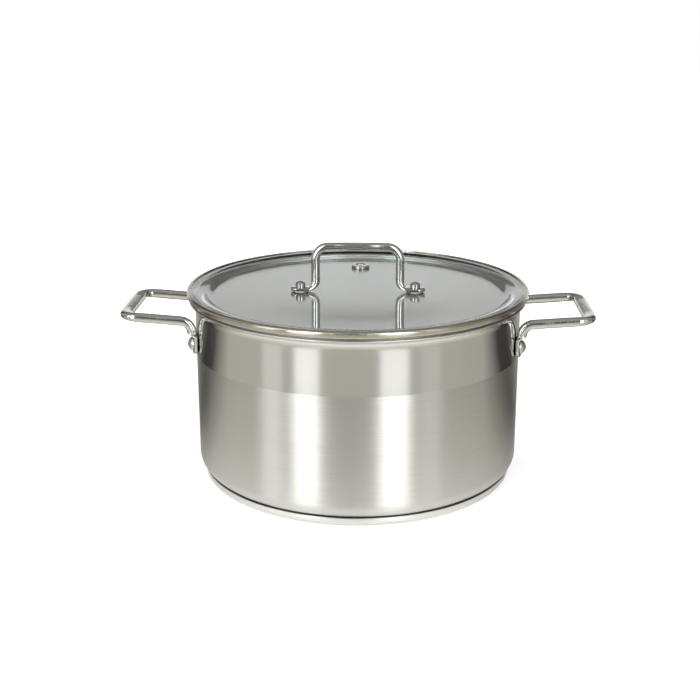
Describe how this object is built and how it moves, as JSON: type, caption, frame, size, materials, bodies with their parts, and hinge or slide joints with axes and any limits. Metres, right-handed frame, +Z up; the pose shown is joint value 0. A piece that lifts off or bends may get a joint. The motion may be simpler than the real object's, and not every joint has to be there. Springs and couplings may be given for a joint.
{
  "type": "saucepan with glass lid",
  "caption": "Round stainless steel cooking pot with looped rod side handles, a sandwich base and a lift-off flat glass lid with steel rim, rod handle and steam vent.",
  "frame": {"origin": "middle of the base, on the surface the pot stands on", "axes": "+Z up along the pot's axis, X along the two side handles, +Y towards the lid's steam vent"},
  "size_m": [0.3448, 0.2514, 0.1734],
  "materials": {
    "satin_steel": "satin, with a polished upper band",
    "polished_steel": "polished",
    "core_aluminium": "plain",
    "clear_glass": "clear toughened",
    "silicone": "matt"
  },
  "bodies": {
    "pot": {"pot_body": "satin_steel", "base_core": "core_aluminium", "base_cap": "satin_steel", "handle_left": "polished_steel", "handle_right": "polished_steel", "rivet_left_front": "polished_steel", "rivet_left_rear": "polished_steel", "rivet_right_front": "polished_steel", "rivet_right_rear": "polished_steel"},
    "lid": {"lid_glass": "clear_glass", "lid_rim": "polished_steel", "lid_handle": "polished_steel", "lid_seat_washer_left": "silicone", "lid_under_washer_left": "silicone", "lid_screw_left": "polished_steel", "lid_nut_left": "polished_steel", "lid_seat_washer_right": "silicone", "lid_under_washer_right": "silicone", "lid_screw_right": "polished_steel", "lid_nut_right": "polished_steel", "vent_ring": "polished_steel", "vent_washer": "silicone", "vent_collar": "polished_steel"}
  },
  "joints": [
    {"name": "lid_lift", "type": "slide", "parent": "pot", "child": "lid", "axis": [0, 0, 1], "range_m": [0, 0.15]}
  ]
}
